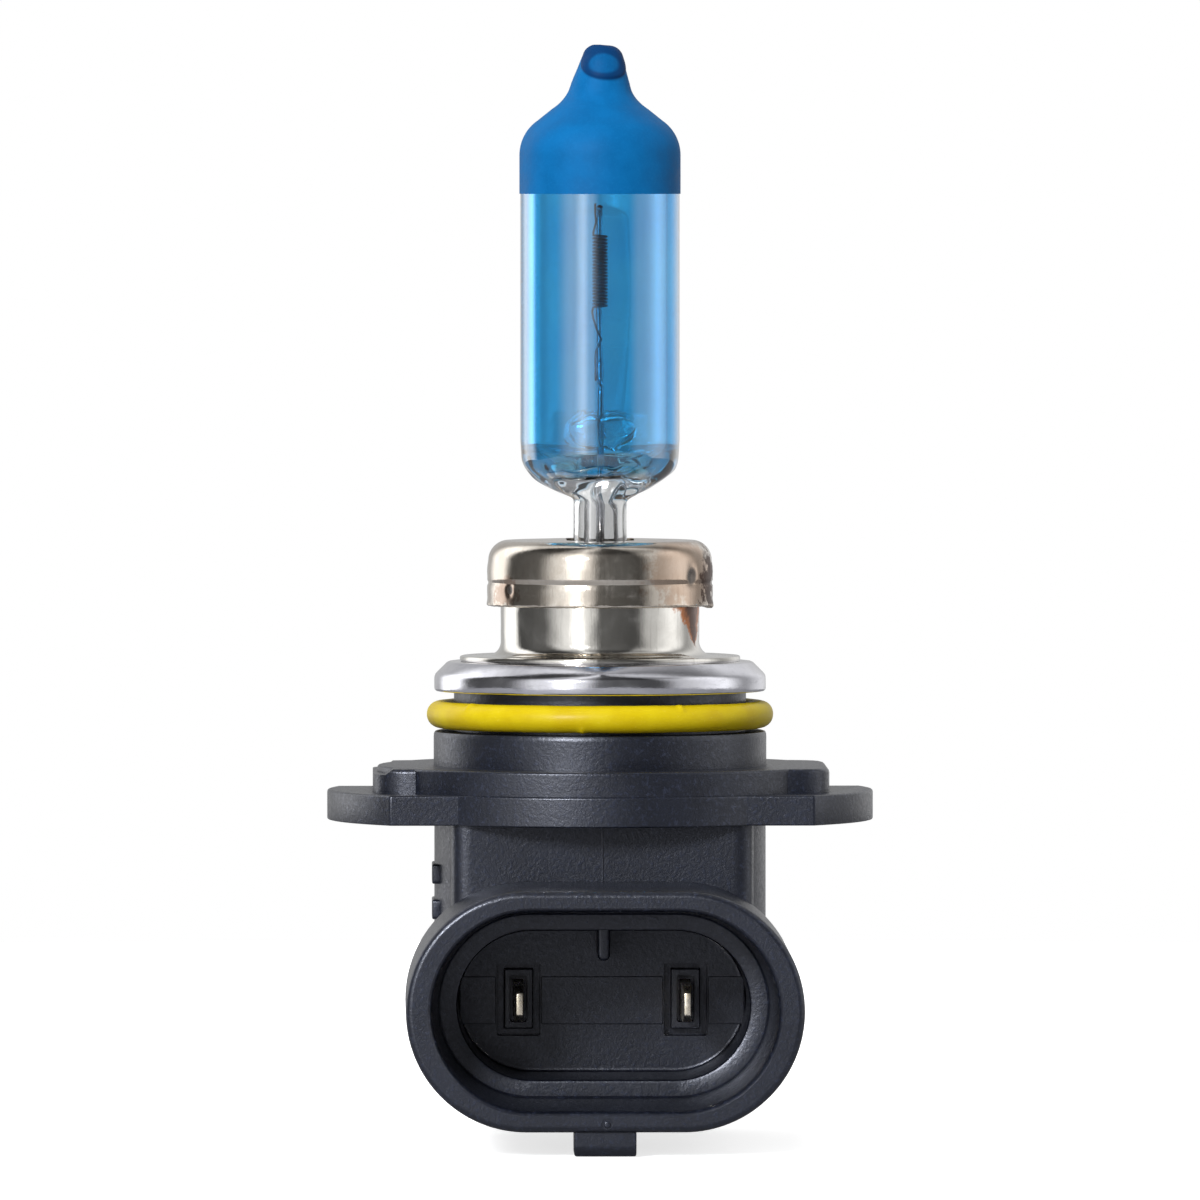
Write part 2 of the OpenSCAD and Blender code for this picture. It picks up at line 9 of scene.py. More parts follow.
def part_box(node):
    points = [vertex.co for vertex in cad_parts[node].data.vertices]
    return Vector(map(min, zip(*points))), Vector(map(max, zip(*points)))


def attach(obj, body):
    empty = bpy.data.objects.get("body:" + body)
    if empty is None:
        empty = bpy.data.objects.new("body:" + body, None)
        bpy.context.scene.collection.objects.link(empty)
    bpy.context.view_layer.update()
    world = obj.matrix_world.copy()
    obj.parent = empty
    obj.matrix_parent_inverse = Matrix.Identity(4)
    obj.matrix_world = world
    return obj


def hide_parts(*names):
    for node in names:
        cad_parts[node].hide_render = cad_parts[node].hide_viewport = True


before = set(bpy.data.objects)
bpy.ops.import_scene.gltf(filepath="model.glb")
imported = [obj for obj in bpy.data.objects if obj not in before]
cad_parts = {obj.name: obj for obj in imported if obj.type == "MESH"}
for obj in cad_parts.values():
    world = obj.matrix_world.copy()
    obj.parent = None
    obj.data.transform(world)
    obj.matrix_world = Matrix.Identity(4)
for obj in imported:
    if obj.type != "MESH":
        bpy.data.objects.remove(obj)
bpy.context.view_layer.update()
MM = 0.001


# Places taken from the CAD frame, in millimetres

def low_side(node, axis):
    """The lowest that a CAD node reaches along an axis."""
    return round(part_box(node)[0]["xyz".index(axis)] / MM, 3)


def high_side(node, axis):
    """The highest that a CAD node reaches along an axis."""
    return round(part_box(node)[1]["xyz".index(axis)] / MM, 3)


def middle(node, axis):
    return round((low_side(node, axis) + high_side(node, axis)) / 2, 3)


TUBE_R = high_side("glass_envelope", "x")
BORE_R = TUBE_R - 1.0
PINCH_FOOT = low_side("glass_envelope", "z")
BRIDGE_Z = middle("glass_bridge", "z")
WIRE_Y = middle("rear_seal_foil", "y")
FOIL_FOOT, FOIL_TOP = low_side("rear_seal_foil", "z"), high_side("rear_seal_foil", "z")
CLIP_R, CLIP_TOP = high_side("pinch_clip", "x"), high_side("pinch_clip", "z")
CAP_RIM, CAP_TOP = low_side("retainer_cap", "z"), high_side("retainer_cap", "z")
RING_R = high_side("locating_ring", "x")
RING_FOOT, RING_TOP = low_side("locating_ring", "z"), high_side("locating_ring", "z")
SEAL_R, SEAL_Z = high_side("sealing_ring", "x") - 1.05, middle("sealing_ring", "z")
BODY_FOOT = low_side("base_cover", "z")
COVER_R, COVER_TOP = high_side("base_cover", "x"), BODY_FOOT + 1.4
MOUTH_Y = low_side("base_housing", "y")
CONNECTOR_Z = middle("right_terminal_carrier", "z")
BLADE_X = middle("right_terminal", "x")

# Sizes that the frame's boxes don't give
SHEET = 0.42         # the cap's and collar's metal
COLLAR_R = 7.575
BODY_R = 12.65
LUG_R = 20.83
SHROUD_BACK = -10.7


# Outlines, as lists of (u, v)

def arc(cx, cy, r, start, end, steps):
    angles = [math.radians(start + (end - start) * i / steps) for i in range(steps + 1)]
    return [(cx + r * math.cos(a), cy + r * math.sin(a)) for a in angles]


def circle(r, steps=192):
    return arc(0, 0, r, 0, 360 - 360 / steps, steps - 1)


def stadium(w, h, steps=40):
    side = (w - h) / 2
    return arc(side, 0, h / 2, -90, 90, steps) + arc(-side, 0, h / 2, 90, 270, steps)


def rounded(points, radius, steps=5):
    """A polygon with its corners rounded by curves that leave each side the radius away."""
    out = []
    for i, p in enumerate(points):
        p, before, after = (Vector(q) for q in (p, points[i - 1], points[(i + 1) % len(points)]))
        back, ahead = before - p, after - p
        reach = min(radius, back.length / 2.1, ahead.length / 2.1)
        a, b = p + back.normalized() * reach, p + ahead.normalized() * reach
        for k in range(steps + 1):
            t = k / steps
            out.append(tuple((1 - t) ** 2 * a + 2 * t * (1 - t) * p + t * t * b))
    return out


def rectangle(w, h, radius, centre=(0, 0)):
    x, y = centre
    return rounded([(x - w / 2, y - h / 2), (x + w / 2, y - h / 2), (x + w / 2, y + h / 2),
                    (x - w / 2, y + h / 2)], radius)


def inset(outline, distance):
    """The outline moved inwards, for points that run anticlockwise."""
    out = []
    for i, p in enumerate(outline):
        p, before, after = (Vector(q) for q in (p, outline[i - 1], outline[(i + 1) % len(outline)]))
        a, b = (p - before).normalized(), (after - p).normalized()
        na, nb = Vector((-a.y, a.x)), Vector((-b.y, b.x))
        out.append(tuple(p + (na + nb) * distance / max(0.3, 1 + na.dot(nb))))
    return out


# Meshes

def make_object(name, verts, faces, material, angle=38):
    mesh = bpy.data.meshes.new(name)
    mesh.from_pydata([Vector(v) * MM for v in verts], [], faces)
    work = bmesh.new()
    work.from_mesh(mesh)
    bmesh.ops.remove_doubles(work, verts=work.verts, dist=1e-8)
    bmesh.ops.recalc_face_normals(work, faces=work.faces)
    work.to_mesh(mesh)
    work.free()
    obj = bpy.data.objects.new(name, mesh)
    bpy.context.scene.collection.objects.link(obj)
    if material:
        mesh.materials.append(material)
    mesh.shade_smooth()
    mesh.set_sharp_from_angle(angle=math.radians(angle))
    return obj


def skin(name, rings, material=None, loop=False, angle=38):
    """A skin over rings of equally many points: capped at both ends, or joined round if loop is set."""
    n = len(rings[0])
    verts = [p for ring in rings for p in ring]
    count = len(rings)
    faces = [(a * n + k, a * n + (k + 1) % n, b * n + (k + 1) % n, b * n + k)
             for a, b in [(i, (i + 1) % count) for i in range(count if loop else count - 1)]
             for k in range(n)]
    if not loop:
        faces += [tuple(reversed(range(n))), tuple((count - 1) * n + k for k in range(n))]
    return make_object(name, verts, faces, material, angle)


def revolve(name, profile, material=None, steps=256, shape=None, loop=True, angle=38):
    """A profile of (radius, z) turned round the axis; shape(r, z, angle) may move its points."""
    rings = []
    for k in range(steps):
        a = 2 * math.pi * k / steps
        ring = []
        for r, z in profile:
            if shape:
                r, z = shape(r, z, a)
            ring.append((r * math.cos(a), r * math.sin(a), z))
        rings.append(ring)
    count, n = len(rings), len(profile)
    verts = [p for ring in rings for p in ring]
    faces = [(a * n + k, b * n + k, b * n + (k + 1) % n, a * n + (k + 1) % n)
             for a, b in [(i, (i + 1) % count) for i in range(count)]
             for k in range(n if loop else n - 1)]
    return make_object(name, verts, faces, material, angle)


def slab(outline, low, high, soft_low=0.2, soft_high=0.2, up="z", at=(0, 0), material=None, name="slab"):
    """A prism with softened edges: an outline in X and Y that stands along Z, or in X and Z along Y."""
    rings = []
    for end, soft, turn in ((low, soft_low, 1), (high, soft_high, -1)):
        steps = [90, 60, 30, 0] if turn == 1 else [0, 30, 60, 90]
        for a in steps if soft else [0]:
            a = math.radians(a)
            height = end + turn * soft * (1 - math.sin(a))
            grown = inset(outline, soft * (1 - math.cos(a))) if soft else outline
            rings.append([(u + at[0], v + at[1], height) for u, v in grown])
    if up == "y":
        rings = [[(u, w, v) for u, v, w in ring] for ring in rings]
    return skin(name, rings, material)


def combine(base, tools, operation):
    """Adds the tools to the base, or cuts them from it, and removes them."""
    for tool in tools:
        modifier = base.modifiers.new("combine", "BOOLEAN")
        modifier.operation = operation
        modifier.solver = "MANIFOLD"
        modifier.object = tool
        shape = bpy.data.meshes.new_from_object(base.evaluated_get(bpy.context.evaluated_depsgraph_get()))
        base.modifiers.clear()
        base.data = shape
        bpy.data.objects.remove(tool)
    return base


def finish_boolean(obj, material, angle=32):
    obj.data.materials.clear()
    obj.data.materials.append(material)
    obj.data.shade_smooth()
    obj.data.set_sharp_from_angle(angle=math.radians(angle))
    weights = obj.modifiers.new("normals", "WEIGHTED_NORMAL")
    weights.keep_sharp = True
    return obj


def sweep(name, path, d, material, sides=14, swell=None):
    """A round wire along a path, with its ends rounded; swell(t) scales its thickness."""
    path = [Vector(p) for p in path]
    side = Vector((0.3, 1, 0.1))
    rings = []
    last = len(path) - 1
    for i, p in enumerate(path):
        ahead = (path[min(i + 1, last)] - path[max(i - 1, 0)]).normalized()
        side = (side - side.dot(ahead) * ahead).normalized()
        across = side.cross(ahead)
        r = d / 2 * (swell(i / last) if swell else 1)
        ends = [(-1, 0.45), (-0.6, 0.85)] if i == 0 else [(0.6, 0.85), (1, 0.45)] if i == last else []
        stations = [(0, 1)]
        if i == 0:
            stations = ends + stations
        elif i == last:
            stations = stations + ends
        for shift, scale in stations:
            centre = p + ahead * shift * r * 0.8
            rings.append([tuple(centre + r * scale * (math.cos(2 * math.pi * k / sides) * side
                                                      + math.sin(2 * math.pi * k / sides) * across))
                          for k in range(sides)])
    return skin(name, rings, material, angle=60)


def curve_through(points, radius, steps=8):
    """A path whose corners are rounded."""
    points = [Vector(p) for p in points]
    out = [points[0]]
    for i in range(1, len(points) - 1):
        back, ahead = points[i - 1] - points[i], points[i + 1] - points[i]
        reach = min(radius, back.length / 2.1, ahead.length / 2.1)
        a, b = points[i] + back.normalized() * reach, points[i] + ahead.normalized() * reach
        for k in range(steps + 1):
            t = k / steps
            out.append((1 - t) ** 2 * a + 2 * t * (1 - t) * points[i] + t * t * b)
    return out + [points[-1]]


def place(obj, nodes):
    obj.name = obj.data.name = nodes[0] + "_look"
    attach(obj, "root")
    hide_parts(*nodes)


# Materials

class Look:
    """A node material whose textures run in millimetres in the row frame."""

    def __init__(self, name):
        self.material = bpy.data.materials.new(name)
        self.material.use_nodes = True
        self.tree = self.material.node_tree
        self.shader = self.tree.nodes["Principled BSDF"]
        coords = self.add("ShaderNodeTexCoord")
        scale = self.add("ShaderNodeVectorMath", operation="SCALE")
        scale.inputs["Scale"].default_value = 1000
        self.link(coords.outputs["Object"], scale.inputs[0])
        self.position = scale.outputs[0]
        parts = self.add("ShaderNodeSeparateXYZ")
        self.link(self.position, parts.inputs[0])
        self.x, self.y, self.z = parts.outputs

    def add(self, kind, **settings):
        node = self.tree.nodes.new(kind)
        for key, value in settings.items():
            setattr(node, key, value)
        return node

    def link(self, a, b):
        self.tree.links.new(a, b)

    def feed(self, value, socket):
        if isinstance(value, bpy.types.NodeSocket):
            self.link(value, socket)
        else:
            socket.default_value = value

    def set(self, **values):
        for key, value in values.items():
            self.feed(value, self.shader.inputs[key.replace("_", " ")])

    def math(self, operation, a, b=0.0, clamp=False):
        node = self.add("ShaderNodeMath", operation=operation, use_clamp=clamp)
        self.feed(a, node.inputs[0])
        self.feed(b, node.inputs[1])
        return node.outputs[0]

    def stretched(self, x, y, z):
        node = self.add("ShaderNodeVectorMath", operation="MULTIPLY")
        self.link(self.position, node.inputs[0])
        node.inputs[1].default_value = (x, y, z)
        return node.outputs[0]

    def noise(self, scale, detail=2.0, rough=0.5, position=None, distortion=0.0):
        node = self.add("ShaderNodeTexNoise")
        self.link(position or self.position, node.inputs["Vector"])
        node.inputs["Scale"].default_value = scale
        node.inputs["Detail"].default_value = detail
        node.inputs["Roughness"].default_value = rough
        node.inputs["Distortion"].default_value = distortion
        return node.outputs["Fac"]

    def span(self, value, low, high, to_low=0.0, to_high=1.0, smooth=True):
        node = self.add("ShaderNodeMapRange", interpolation_type="SMOOTHSTEP" if smooth else "LINEAR")
        self.feed(value, node.inputs["Value"])
        for key, number in (("From Min", low), ("From Max", high), ("To Min", to_low), ("To Max", to_high)):
            node.inputs[key].default_value = number
        return node.outputs["Result"]

    def blend(self, share, a, b):
        node = self.add("ShaderNodeMix", data_type="RGBA")
        self.feed(share, node.inputs["Factor"])
        for value, socket in ((a, node.inputs[6]), (b, node.inputs[7])):
            self.feed(value if isinstance(value, bpy.types.NodeSocket) else (*value, 1), socket)
        return node.outputs[2]

    def turn(self):
        """The angle round the axis in degrees, 0 in front and positive to the right."""
        return self.math("MULTIPLY", self.math("ARCTAN2", self.x, self.math("MULTIPLY", self.y, -1)),
                         180 / math.pi)

    def spot(self, values, centre, reach):
        """1 at the centre of a soft ellipse over the values given, and 0 beyond its reach."""
        total = None
        for value, middle, length in zip(values, centre, reach):
            part = self.math("POWER", self.math("DIVIDE", self.math("SUBTRACT", value, middle), length), 2.0)
            total = part if total is None else self.math("ADD", total, part)
        return self.span(total, 0.35, 1.15, 1.0, 0.0)

    def bumps(self, *layers):
        """Layers of (height, strength, distance in mm), the first of them the deepest."""
        normal = None
        for height, strength, distance in layers:
            node = self.add("ShaderNodeBump")
            node.inputs["Strength"].default_value = strength
            node.inputs["Distance"].default_value = distance * MM
            self.link(height, node.inputs["Height"])
            if normal:
                self.link(normal, node.inputs["Normal"])
            normal = node.outputs[0]
        self.link(normal, self.shader.inputs["Normal"])


def plastic(name, dark, light, worn, rough=(0.27, 0.39)):
    """Spark-eroded moulded plastic: mottled, grainy, paler where it has been handled."""
    look = Look(name)
    cloud = look.noise(0.22, 3.0, 0.6)
    grain = look.noise(3.1, 3.0, 0.7)
    fine = look.noise(7.0, 2.0, 0.6)
    tone = look.blend(look.span(cloud, 0.35, 0.68), dark, light)
    speck = look.span(grain, 0.5, 0.72)
    scuff = look.math("MULTIPLY", look.span(look.noise(0.5, 5.0, 0.65, distortion=0.6), 0.56, 0.72), 0.5)
    tone = look.blend(look.math("MULTIPLY", speck, 0.55), tone, worn)
    tone = look.blend(look.math("MULTIPLY", scuff, speck), tone, worn)
    look.set(Base_Color=tone, Roughness=look.span(grain, 0.3, 0.7, rough[1], rough[0]),
             Specular_IOR_Level=0.75, Specular_Tint=(0.85, 0.88, 1.0, 1))
    look.bumps((grain, 0.6, 0.045), (fine, 0.35, 0.02))
    return look.material


def brushed(name, base, tint, rough, streak=(1.2, 1.2, 0.06), marks=None, bump=0.02):
    """Drawn or pressed metal sheet: faint streaks, smudges and small pits, and any marks given."""
    look = Look(name)
    lines = look.noise(2.6, 4.0, 0.65, look.stretched(*streak))
    smudge = look.noise(0.35, 4.0, 0.6, distortion=0.4)
    pits = look.noise(4.2, 2.0, 0.5)
    tone = look.blend(look.span(smudge, 0.35, 0.7), base, tint)
    tone = look.blend(look.math("MULTIPLY", look.span(lines, 0.52, 0.75), 0.35), tone,
                      tuple(c * 0.55 for c in base))
    level = look.math("ADD", look.span(lines, 0.3, 0.75, rough[0], rough[1]),
                      look.span(smudge, 0.5, 0.75, 0.0, 0.1))
    if marks:
        tone, level = marks(look, tone, level)
    look.set(Base_Color=tone, Roughness=level, Metallic=1.0)
    look.bumps((lines, 0.18, bump), (pits, 0.12, 0.02))
    return look.material


def cap_marks(look, tone, level):
    """Heat tint on the right and a little on the left, grey spot welds, and a paler band along the bottom
    rim.
    """
    turn, ragged = look.turn(), look.noise(0.9, 4.0, 0.65)
    edge = look.math("ADD", turn, look.span(ragged, 0.2, 0.8, -16, 16, False))
    height = look.math("ADD", look.z, look.span(ragged, 0.2, 0.8, -1.2, 1.2, False))
    warm = look.math("MULTIPLY", look.spot((edge, height), (50, 8.6), (28, 3.4)), 0.5)
    tone = look.blend(warm, tone, (0.34, 0.18, 0.09))
    burn = look.spot((edge, height), (76, 7.6), (13, 3.4))
    tone = look.blend(look.math("MULTIPLY", burn, 0.93), tone, (0.05, 0.018, 0.008))
    left = look.spot((edge, height), (-58, 6.9), (12, 1.3))
    tone = look.blend(look.math("MULTIPLY", left, 0.5), tone, (0.26, 0.12, 0.06))
    weld = look.math("MAXIMUM", look.spot((turn, look.z), (54, 8.35), (4.4, 0.75)),
                     look.spot((turn, look.z), (-54, 7.3), (2.6, 0.4)))
    tone = look.blend(look.math("MULTIPLY", weld, 0.8), tone, (0.1, 0.1, 0.1))
    rim = look.span(look.z, 6.25, 6.05)
    tone = look.blend(look.math("MULTIPLY", rim, 0.5), tone, (0.8, 0.72, 0.62))
    return tone, look.math("ADD", level, look.math("MULTIPLY", look.math("MAXIMUM", burn, weld), 0.3))


def collar_marks(look, tone, level):
    """A tapering rust-brown run down the right of the collar."""
    ragged = look.noise(1.4, 3.0, 0.6)
    width = look.span(look.z, 3.0, 6.4, 2.0, 23.0, False)
    middle = look.span(look.z, 3.0, 6.4, 72.0, 66.0, False)
    off = look.math("ABSOLUTE", look.math("SUBTRACT", look.math("ADD", look.turn(),
                    look.span(ragged, 0.2, 0.8, -5, 5, False)), middle))
    run = look.math("MULTIPLY", look.span(look.math("DIVIDE", off, width), 0.75, 1.05, 1.0, 0.0),
                    look.span(look.z, 2.7, 3.3))
    core = look.span(look.math("DIVIDE", off, width), 0.2, 0.75, 1.0, 0.0)
    rust = look.blend(core, (0.5, 0.17, 0.05), (0.09, 0.03, 0.012))
    tone = look.blend(look.math("MULTIPLY", run, 0.92), tone, rust)
    return tone, look.math("ADD", level, look.math("MULTIPLY", run, 0.25))


def tube_glass():
    """Glass with a blue interference coating on the tube that ends in clear glass at its foot."""
    look = Look("blue_coated_glass")
    uneven = look.noise(0.18, 2.0, 0.5)
    height = look.math("ADD", look.z, look.span(uneven, 0.3, 0.7, -0.7, 0.7, False))
    blue = look.blend(look.span(uneven, 0.3, 0.7), (0.02, 0.41, 0.94), (0.04, 0.49, 0.98))
    look.set(Base_Color=look.blend(look.span(height, 14.9, 16.4), (0.97, 0.985, 0.99), blue),
             Transmission_Weight=1.0, IOR=1.5, Roughness=0.0,
             Coat_Weight=1.0, Coat_Roughness=0.0, Coat_IOR=2.0)
    ripple = look.noise(0.5, 2.0, 0.5, look.stretched(1, 1, 0.25))
    look.bumps((ripple, 0.06, 0.05))
    return look.material


def clear_glass(name, bump=0.25, coat=0.0):
    look = Look(name)
    tone = look.blend(look.noise(0.8), (0.93, 0.97, 0.98), (0.98, 0.99, 1.0))
    look.set(Base_Color=tone, Transmission_Weight=1.0, IOR=1.5, Roughness=0.0,
             Coat_Weight=coat, Coat_Roughness=0.0, Coat_IOR=2.4)
    look.bumps((look.noise(1.2, 3.0, 0.6), bump, 0.08))
    return look.material


def paint():
    """Satin blue lacquer, mottled where it was dipped, with painted shade darkening the tip above its fold.
    """
    look = Look("blue_tip_lacquer")
    cloud, speck = look.noise(0.45, 4.0, 0.6), look.noise(5.0, 2.0, 0.6)
    tone = look.blend(look.span(cloud, 0.3, 0.7), (0.0006, 0.095, 0.27), (0.0012, 0.115, 0.32))
    tone = look.blend(look.math("MULTIPLY", look.span(speck, 0.45, 0.75), 0.25), tone, (0.006, 0.15, 0.38))
    turn = look.turn()
    # Painted shade: darker above the fold line round the tip and along the fold, less so on the front of the
    # lump.
    above = look.math("SUBTRACT", look.z, look.math("ADD", 46.15, look.math("MULTIPLY", look.math(
        "POWER", look.math("DIVIDE", look.math("SUBTRACT", turn, 14.0), 60.0), 2.0), 0.7)))
    painted_tip_shade = look.math("MULTIPLY", look.span(above, -0.2, 0.05), look.span(
        look.spot((turn, look.z), (8, 47.35), (42, 0.85)), 0.0, 1.0, 0.85, 0.3))
    tone = look.blend(painted_tip_shade, tone, (0.001, 0.02, 0.085))
    look.set(Base_Color=tone, Roughness=look.span(cloud, 0.3, 0.7, 0.5, 0.62), Specular_IOR_Level=0.08)
    look.bumps((look.noise(0.9, 3.0, 0.55), 0.25, 0.12), (speck, 0.2, 0.02))
    return look.material


def rubber():
    look = Look("yellow_seal_rubber")
    cloud, speck = look.noise(0.35, 3.0, 0.6), look.noise(5.5, 2.0, 0.6)
    tone = look.blend(look.span(cloud, 0.3, 0.7), (0.5, 0.36, 0.002), (0.56, 0.43, 0.004))
    tone = look.blend(look.math("MULTIPLY", look.span(speck, 0.6, 0.75), 0.3), tone, (0.7, 0.58, 0.08))
    look.set(Base_Color=tone, Roughness=look.span(cloud, 0.3, 0.7, 0.34, 0.46), Specular_IOR_Level=0.15)
    look.bumps((look.noise(1.1, 3.0, 0.6), 0.15, 0.08), (speck, 0.12, 0.02))
    return look.material


def matt(name, dark, light, rough, scale=1.5):
    look = Look(name)
    cloud = look.noise(scale, 4.0, 0.6)
    look.set(Base_Color=look.blend(look.span(cloud, 0.3, 0.7), dark, light), Roughness=rough)
    look.bumps((cloud, 0.3, 0.08))
    return look.material


housing_plastic = plastic("housing_plastic", (0.0032, 0.004, 0.0075), (0.0065, 0.008, 0.014),
                          (0.035, 0.042, 0.07))
carrier_plastic = plastic("carrier_plastic", (0.006, 0.0065, 0.009), (0.012, 0.0125, 0.018),
                          (0.04, 0.041, 0.055))
cap_metal = brushed("cap_nickel", (0.6, 0.54, 0.47), (0.72, 0.67, 0.6), (0.08, 0.18), marks=cap_marks)
collar_metal = brushed("collar_nickel", (0.64, 0.62, 0.58), (0.74, 0.72, 0.68), (0.06, 0.14),
                       marks=collar_marks)
ring_metal = brushed("ring_steel", (0.62, 0.62, 0.67), (0.74, 0.74, 0.79), (0.07, 0.15), (0.2, 0.2, 1.2))
spring_metal = brushed("spring_steel", (0.45, 0.43, 0.4), (0.55, 0.53, 0.5), (0.25, 0.4))
blade_metal = brushed("tinned_brass", (0.86, 0.74, 0.55), (0.93, 0.88, 0.78), (0.24, 0.36), (1.2, 0.08, 1.2))
lead_metal = brushed("nickel_lead", (0.5, 0.47, 0.42), (0.58, 0.55, 0.5), (0.25, 0.4))
wire_metal = brushed("molybdenum_wire", (0.4, 0.41, 0.44), (0.55, 0.56, 0.6), (0.15, 0.3))
coil_metal = brushed("tungsten_coil", (0.1, 0.11, 0.13), (0.2, 0.21, 0.24), (0.3, 0.45))
foil_metal = brushed("molybdenum_foil", (0.5, 0.5, 0.53), (0.6, 0.6, 0.62), (0.2, 0.4))


# Glass

def dome_outline(grow):
    """The outline of the dome and tip from the tube upwards, as (radius, z)."""
    r, dome_r, tip_z = TUBE_R + grow, 3.2, 48.7
    points = arc(r - dome_r, 40.35, dome_r, 0, 55.5, 14)
    a = Vector(points[-1])
    b, c = Vector((2.45 + grow, 44.6)), Vector((2.22 + grow, 45.7))
    start = a + Vector((-1.1, 0.88))
    for k in range(11):
        t = k / 10
        points.append(tuple((1 - t) ** 2 * start + 2 * t * (1 - t) * b + t * t * c))
    end = arc(0.62, tip_z - 0.98 + grow, 0.9 + grow, 10, 88, 8)
    neck = Vector(points[-1])
    for k in range(1, 17):
        points.append(tuple(neck.lerp(Vector(end[0]), k / 17)))
    return points + end + [(0.0005, tip_z + grow - 0.08)]


def section(half_x, half_y, power, pinch, steps=96):
    """A ring of (x, y) between an ellipse and the pinch, whose flat web has a rib along each edge."""
    ring = []
    for k in range(steps):
        a = 2 * math.pi * k / steps
        c, s = math.cos(a), math.sin(a)
        x = half_x * math.copysign(abs(c) ** (2 / power), c)
        y = half_y * math.copysign(abs(s) ** (2 / power), s)
        rib = min(1, max(0, (abs(y) - half_y + 2.1) / 0.7))
        rib = rib * rib * (3 - 2 * rib)
        ring.append((x * (1 - pinch * 0.3 * (1 - rib)), y))
    return ring


def tube_glass_mesh():
    def ease(t):
        t = min(1, max(0, t))
        return t * t * (3 - 2 * t)

    outer = []
    for z in (PINCH_FOOT, 4.4, 6, 8, 10, 11, 12, 12.6, 13.1, 13.4):
        low = 0.12 if z == PINCH_FOOT else 0.0
        flare = 0.08 * ease((11.6 - z) / 1.2)
        outer.append([(x, y, z) for x, y in section(2.2 + flare - low, 4.8 - low, 3.4, 1)])
    foot = curve_through([(2.2, 13.4, 0), (2.28, 14.1, 0), (3.9, 14.7, 0), (4.85, 15.55, 0), (5.95, 16.6, 0),
                          (TUBE_R, 18.4, 0)], 1.2, 5)
    for r, z, _ in foot[1:-1]:
        wide = ease((z - 13.4) / 2.4)
        y_radius = max(r, 4.8 + 0.25 * wide)
        squareness = 3.4 - 1.4 * ease((z - 13.4) / 1.6)
        outer.append([(x, y, z) for x, y in section(r, y_radius, squareness, 1 - wide)])
    outer.append([(x, y, 18.6) for x, y in section(TUBE_R, TUBE_R, 2, 0)])
    for z in (20, 22, 25, 28, 31, 34, 37, 39):
        outer.append([(x, y, z) for x, y in section(TUBE_R, TUBE_R, 2, 0)])
    for r, z in dome_outline(-0.01):
        r *= 1 - 0.4 * ease((z - 43.2) / 1.6)
        outer.append([(x, y, min(z, 48.0) - 0.001 * len(outer)) for x, y in section(r, r, 2, 0)])
    rippled = []
    for i, ring in enumerate(outer):
        z = ring[0][2]
        reach = 0.07 * ease((z - 13.5) / 0.8) * ease((17.2 - z) / 1.4)
        rippled.append([])
        for x, y, z in ring:
            a = math.atan2(y, x)
            grow = 1 + reach * noise.noise(Vector((math.cos(a) * 3.6, math.sin(a) * 3.6, z * 0.8)))
            rippled[-1].append((x * grow, y * grow, z))
    shell = skin("glass", rippled, angle=70)
    inner = []
    low_r, low_z = 2.7, 18.6
    for a in (-88, -78, -66, -54, -42, -30, -20, -10, 0):
        r = BORE_R - low_r + low_r * math.cos(math.radians(a))
        z = low_z + low_r * math.sin(math.radians(a))
        inner.append([(x, y, z) for x, y in section(r, r, 2, 0)])
    inner.insert(0, [(x, y, 15.75) for x, y in section(1.1, 1.1, 2, 0)])
    for z in (20, 23, 26, 29, 32, 35, 38, 39.5):
        inner.append([(x, y, z) for x, y in section(BORE_R, BORE_R, 2, 0)])
    for a in (15, 30, 45, 60, 75, 88):
        r = 1.675 + 3.4 * math.cos(math.radians(a))
        inner.append([(x, y, 39.8 + 3.4 * math.sin(math.radians(a))) for x, y in section(r, r, 2, 0)])
    space = skin("space", inner, angle=70)
    for poly in space.data.polygons:
        poly.flip()
    coated = len(shell.data.polygons)
    work = bmesh.new()
    work.from_mesh(shell.data)
    work.from_mesh(space.data)
    mesh = shell.data
    work.to_mesh(mesh)
    work.free()
    bpy.data.objects.remove(space)
    mesh.shade_smooth()
    mesh.set_sharp_from_angle(angle=math.radians(70))
    mesh.materials.append(tube_glass())
    mesh.materials.append(clear_glass("inner_glass", 0.0))
    for poly in mesh.polygons:
        poly.material_index = int(poly.index >= coated)
    return shell


place(tube_glass_mesh(), ["glass_envelope"])


def pinched_off(r, z, a):
    """The end of the exhaust tip: broken off slanting, with a rounded lump on its front."""
    rise = min(1, max(0, (z - 44.4) / 3.6))
    off_lump = (math.degrees(a) - 284) / 60
    fold = 1 / (1 + math.exp(-(z - 46.2 - 0.7 * off_lump ** 2) * 14)) * math.exp(-max(0, z - 47.5) ** 2 / 0.4)
    lump = 0.28 * math.exp(-off_lump ** 2) * fold
    rings = 0.03 * math.sin(z * 14) * math.exp(-((z - 45.5) / 0.5) ** 2)
    wave = 0.06 * noise.noise(Vector((math.cos(a) * 1.4, math.sin(a) * 1.4, z * 0.8))) + rings
    lean = 0.22 * rise * math.cos(a)
    return (r + (0.05 * math.cos(2 * a) - 0.1 + wave + lean) * rise * min(1, r) + lump * min(1, r),
            z - 0.12 * rise * max(0, math.cos(a)) * min(1, r / 1.2))


lacquer = dome_outline(0.075)
coat = [(6.08, 37.42), (6.15, 37.4), (6.15, 38.5)] + lacquer
coat_inside = [(0.0005, 48.3), (1.0, 47.6)] + dome_outline(-0.03)[:-10][::-1]
place(revolve("coat", coat + coat_inside, paint(), 128, pinched_off, angle=75), ["tip_coating"])

